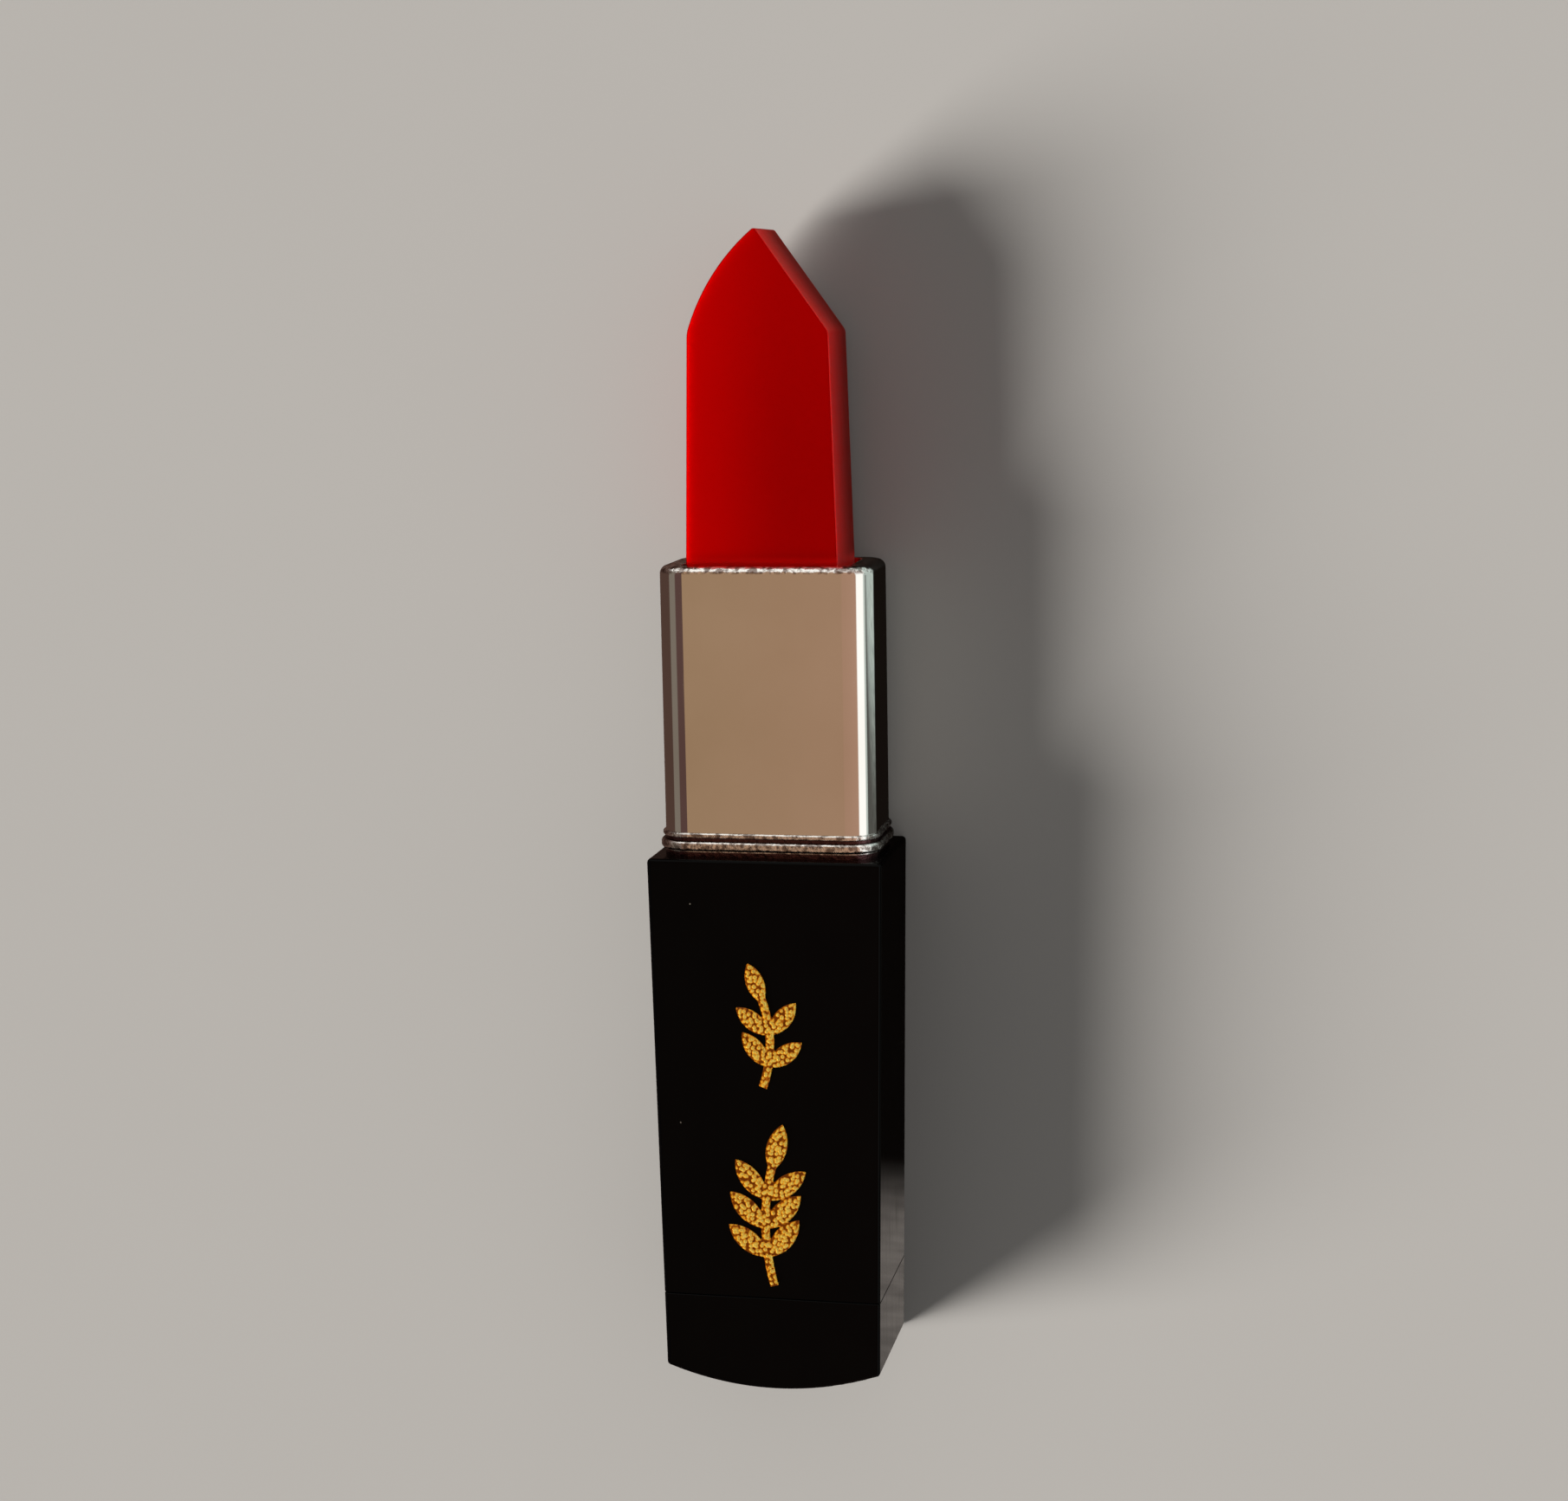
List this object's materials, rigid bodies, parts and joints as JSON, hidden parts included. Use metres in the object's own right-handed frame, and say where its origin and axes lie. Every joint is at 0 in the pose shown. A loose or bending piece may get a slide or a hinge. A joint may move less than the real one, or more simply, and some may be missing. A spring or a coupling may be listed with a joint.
{
  "type": "lipstick case",
  "caption": "Slim flat lipstick with a tapered black gloss case, mirror sleeve and gabled red bullet that rises and sinks as the bowed base end is turned.",
  "frame": {"origin": "middle of the bounding box, on the flat back face that the lipstick lies on", "axes": "+Y along the case towards the bullet's tip, +Z out of the decorated front face, +X across the width to the right"},
  "size_m": [0.0202, 0.099, 0.0133],
  "materials": {
    "case_black": "high gloss",
    "mirror_metal": "mirror polished",
    "ring_metal": "bright rolled",
    "inner_black": "moulded",
    "gold_glitter": "gold glitter in clear resin",
    "weight_steel": "zinc plated",
    "acetal_white": "moulded",
    "ring_rubber": "smooth",
    "clip_steel": "spring steel",
    "cup_silver": "metallised",
    "lipstick_red": "waxy gloss"
  },
  "bodies": {
    "case": {"body_shell": "case_black", "mirror_sleeve": "mirror_metal", "collar_ring": "ring_metal", "guide_tube": "inner_black", "bearing_plate": "inner_black", "gold_ornament": "gold_glitter"},
    "twist_base": {"base_cap": "case_black", "base_weight": "weight_steel", "drive_spindle": "acetal_white", "friction_ring": "ring_rubber", "retaining_clip": "clip_steel"},
    "elevator": {"lift_carrier": "acetal_white", "drive_nut": "acetal_white", "bullet_cup": "cup_silver", "lipstick_bullet": "lipstick_red"}
  },
  "joints": [
    {"name": "base_twist", "type": "hinge", "parent": "case", "child": "twist_base", "pos_m": [0, -0.0414, 0.0065], "axis": [0, 1, 0], "range_deg": [-720, 0]},
    {"name": "bullet_lift", "type": "slide", "parent": "case", "child": "elevator", "axis": [0, 1, 0], "range_m": [-0.0294, 0]}
  ],
  "couplings": [
    {"joint": "bullet_lift", "follows": "base_twist", "m_per_rad": 0.0023396}
  ]
}
